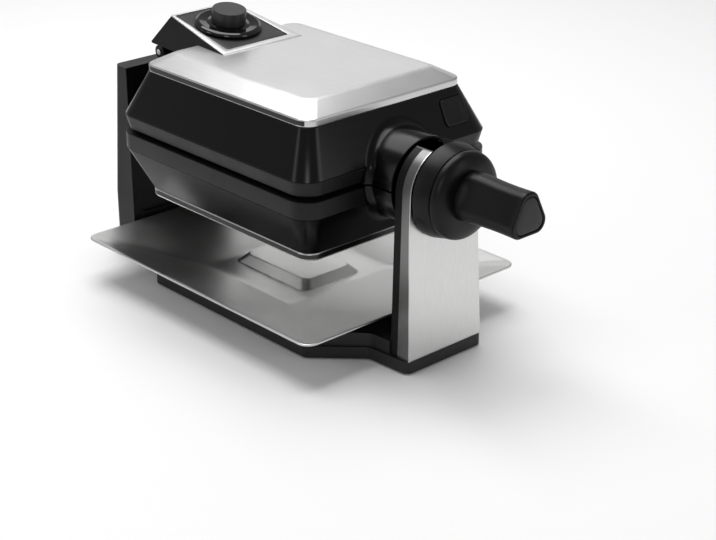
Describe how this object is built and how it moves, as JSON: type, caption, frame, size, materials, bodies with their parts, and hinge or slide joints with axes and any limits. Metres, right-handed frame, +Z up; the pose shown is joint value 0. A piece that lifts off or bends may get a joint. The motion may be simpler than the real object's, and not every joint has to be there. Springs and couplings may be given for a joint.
{
  "type": "rotary waffle maker",
  "caption": "Table-top rotary waffle maker: hinged cooking unit on a front post and rear tower, side grip handle, sloped control panel, drip tray.",
  "frame": {"origin": "under the middle of the machine, on the surface it stands on", "axes": "+Z up, -Y towards the handle at the front, +X to the right seen from the front"},
  "size_m": [0.232, 0.4376, 0.2356],
  "materials": {
    "base_plastic": "fine-grained matt black moulding",
    "floor_plastic": "plain black moulding",
    "screw_steel": "zinc-plated",
    "foot_rubber": "matt rubber",
    "post_plastic": "matt black moulding",
    "post_steel": "satin brushed",
    "bearing_plastic": "dark nylon",
    "tower_plastic": "fine-grained matt black moulding",
    "tower_panel_plastic": "fine-grained matt black moulding",
    "bush_brass": "turned",
    "pin_steel": "ground steel",
    "gland_rubber": "black rubber",
    "terminal_plastic": "heat-proof cream moulding",
    "tray_steel": "satin sheet",
    "band_plastic": "grained black moulding",
    "housing_gloss": "piano black",
    "cover_steel": "satin brushed sheet",
    "carrier_steel": "plain pressed sheet",
    "heater_steel": "dull sheathed tube",
    "reflector_aluminium": "bright sheet",
    "thermostat_steel": "plain",
    "plate_coating": "dark non-stick coating on cast aluminium",
    "trunnion_gloss": "gloss black",
    "hinge_black": "black coated casting",
    "button_plastic": "satin black",
    "box_plastic": "satin black moulding",
    "panel_plastic": "grained dark grey",
    "board_resin": "circuit board",
    "switch_plastic": "moulded",
    "handle_plastic": "soft-touch black",
    "cap_plastic": "soft-touch black",
    "knob_plastic": "satin dark grey",
    "skirt_gloss": "gloss black"
  },
  "bodies": {
    "base": {"base_shell": "base_plastic", "base_bottom_cover": "floor_plastic", "base_screws": "screw_steel", "rubber_feet": "foot_rubber", "front_post_core": "post_plastic", "front_post_cover": "post_steel", "front_cradle_liner": "bearing_plastic", "rear_tower_shell": "tower_plastic", "rear_tower_cover": "tower_panel_plastic", "rear_bearing_bush": "bush_brass", "rotation_stop_pin": "pin_steel", "cord_gland": "gland_rubber", "terminal_block": "terminal_plastic"},
    "drip_tray": {"drip_tray": "tray_steel"},
    "lower_unit": {"lower_band": "band_plastic", "lower_housing": "housing_gloss", "lower_cover": "cover_steel", "lower_plate_carrier": "carrier_steel", "lower_heater": "heater_steel", "lower_reflector": "reflector_aluminium", "lower_thermostat": "thermostat_steel", "lower_waffle_plate": "plate_coating", "lower_frame_screws": "screw_steel", "lower_trunnion": "trunnion_gloss", "rear_hinge_carrier": "hinge_black", "hinge_pin": "pin_steel", "journal_retainer": "pin_steel"},
    "lower_button": {"lower_release_button": "button_plastic"},
    "lid": {"upper_band": "band_plastic", "upper_housing": "housing_gloss", "upper_cover": "cover_steel", "upper_plate_carrier": "carrier_steel", "upper_heater": "heater_steel", "upper_reflector": "reflector_aluminium", "upper_thermostat": "thermostat_steel", "upper_waffle_plate": "plate_coating", "upper_frame_screws": "screw_steel", "upper_trunnion": "trunnion_gloss", "control_box": "box_plastic", "control_panel": "panel_plastic", "control_board": "board_resin", "temperature_control": "switch_plastic", "lid_hinge_bracket": "hinge_black", "handle_hub": "handle_plastic", "handle_grip": "handle_plastic", "handle_end_cap": "cap_plastic", "handle_bolt": "screw_steel"},
    "upper_button": {"upper_release_button": "button_plastic"},
    "knob": {"control_knob": "knob_plastic", "knob_skirt": "skirt_gloss", "control_shaft": "pin_steel"}
  },
  "joints": [
    {"name": "unit_turn", "type": "hinge", "parent": "base", "child": "lower_unit", "pos_m": [0, 0.03275, 0.144], "axis": [0, 1, 0], "range_deg": [0, 180]},
    {"name": "lid_open", "type": "hinge", "parent": "lower_unit", "child": "lid", "pos_m": [0, 0.18175, 0.188], "axis": [1, 0, 0], "range_deg": [-90, 0]},
    {"name": "knob_turn", "type": "hinge", "parent": "lid", "child": "knob", "pos_m": [-0.0027, 0.1231, 0.21773], "axis": [0, -0.1727, 0.985], "range_deg": [0, 270]},
    {"name": "upper_release", "type": "slide", "parent": "lid", "child": "upper_button", "axis": [0, 0.9065, -0.4222], "range_m": [0, 0.003], "stiffness_N_per_m": 400, "springref_m": -0.002},
    {"name": "lower_release", "type": "slide", "parent": "lower_unit", "child": "lower_button", "axis": [0, 0.9065, 0.4222], "range_m": [0, 0.003], "stiffness_N_per_m": 400, "springref_m": -0.002},
    {"name": "tray_slide", "type": "slide", "parent": "base", "child": "drip_tray", "axis": [1, 0, 0], "range_m": [0, 0.2]}
  ]
}
